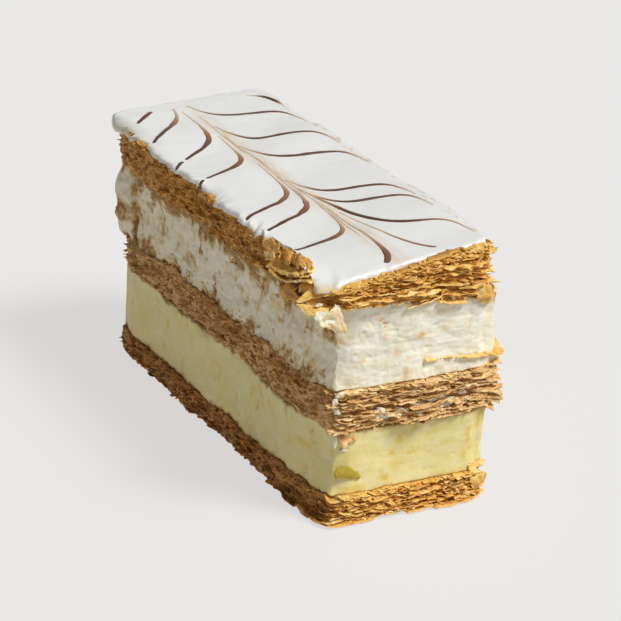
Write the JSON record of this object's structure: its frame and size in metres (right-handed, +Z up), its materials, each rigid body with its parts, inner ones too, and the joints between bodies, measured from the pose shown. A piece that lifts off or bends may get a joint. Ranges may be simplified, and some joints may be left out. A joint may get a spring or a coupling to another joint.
{
  "type": "mille feuille slice",
  "caption": "Long rectangular layered pastry slice with custard, whipped cream and a feathered white icing on top.",
  "frame": {"origin": "middle of the part's bounding box at the underside that the slice rests on", "axes": "+Z up, +Y along the slice from the cut front end to the back, +X across it to the right as seen from the front"},
  "size_m": [0.0546, 0.1304, 0.0706],
  "materials": {
    "pastry": "baked puff pastry, golden brown, flaky and dull",
    "custard": "set custard, pale yellow, smooth with a soft sheen",
    "cream": "whipped cream, off-white, dull and torn by the knife",
    "icing": "poured white sugar icing with thin brown feathered lines, soft gloss"
  },
  "bodies": {
    "root": {"pastry_base": "pastry", "custard": "custard", "pastry_middle": "pastry", "whipped_cream": "cream", "pastry_top": "pastry", "icing": "icing"}
  },
  "joints": []
}
